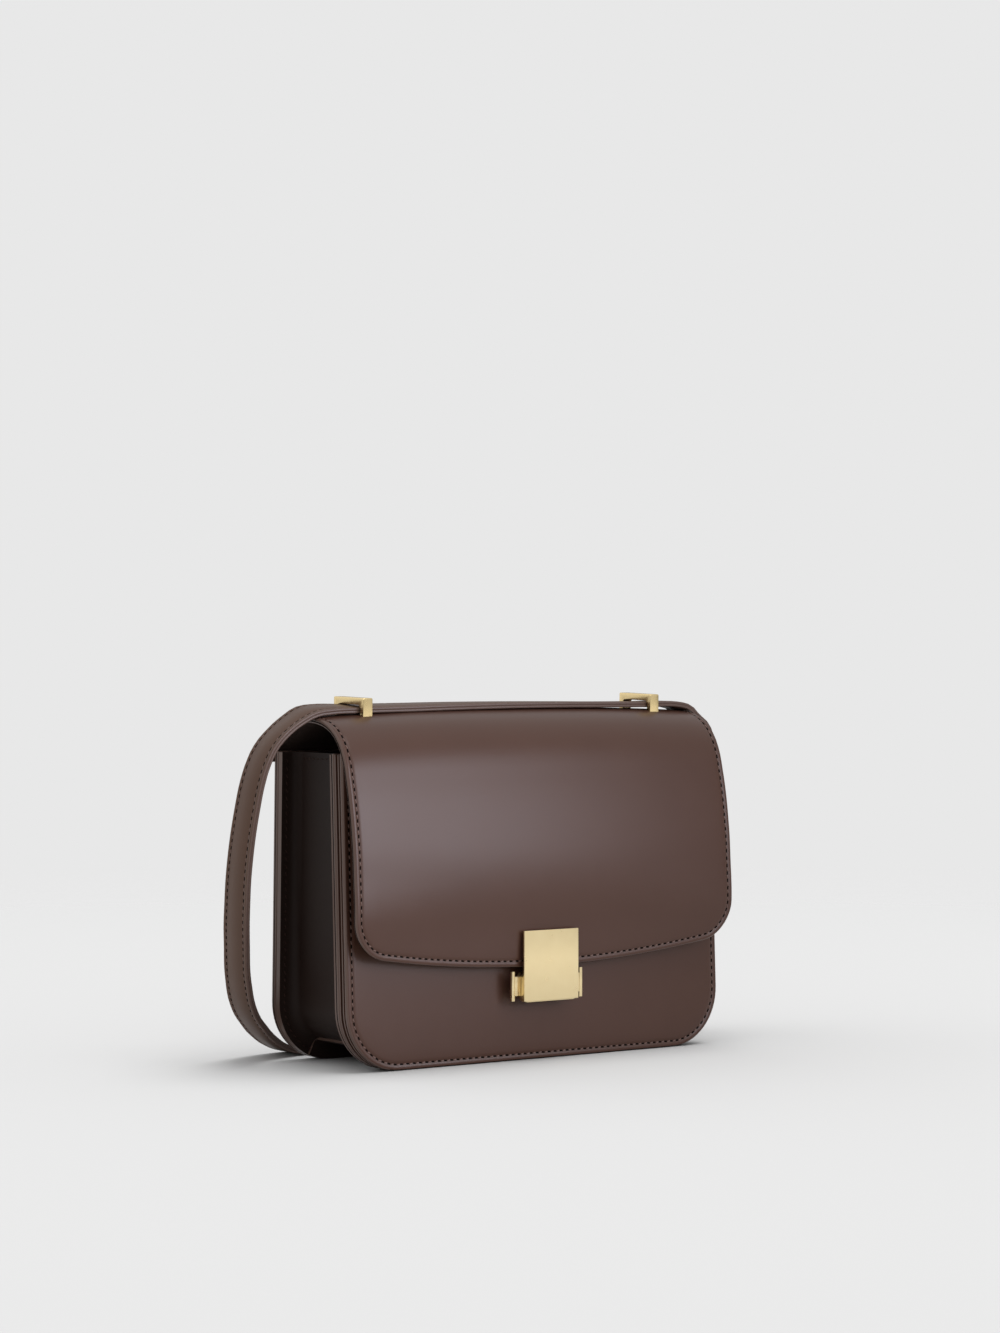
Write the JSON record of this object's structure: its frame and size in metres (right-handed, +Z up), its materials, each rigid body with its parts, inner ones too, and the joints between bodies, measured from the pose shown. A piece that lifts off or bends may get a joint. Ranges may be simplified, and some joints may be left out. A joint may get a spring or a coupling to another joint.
{
  "type": "box bag",
  "caption": "Structured leather shoulder bag with a front flap, a squeeze-button clasp, a front pocket and a flat strap through two metal loops.",
  "frame": {"origin": "middle of the front panel's lower edge, where it meets the floor", "axes": "+X across the bag to its right as seen from the front, +Y from the front to the back, +Z up"},
  "size_m": [0.2998, 0.1163, 0.1893],
  "materials": {
    "leather": "smooth satin, dark taupe",
    "gusset_leather": "smooth satin, dark brown",
    "clasp_metal": "satin, pale gold"
  },
  "bodies": {
    "bag": {"front_panel": "leather", "pocket_gusset": "gusset_leather", "middle_panel": "leather", "gusset_left": "gusset_leather", "gusset_right": "gusset_leather", "gusset_bottom": "gusset_leather", "back_panel": "leather", "flap": "leather", "loop_left": "clasp_metal", "loop_right": "clasp_metal", "strap": "leather", "clasp_plate": "clasp_metal", "clasp_base": "clasp_metal"},
    "button_left": {"button_left": "clasp_metal"},
    "button_right": {"button_right": "clasp_metal"}
  },
  "joints": [
    {"name": "squeeze_left", "type": "slide", "parent": "bag", "child": "button_left", "axis": [1, 0, 0], "range_m": [0, 0.0025], "stiffness_N_per_m": 400},
    {"name": "squeeze_right", "type": "slide", "parent": "bag", "child": "button_right", "axis": [-1, 0, 0], "range_m": [0, 0.0025], "stiffness_N_per_m": 400}
  ]
}
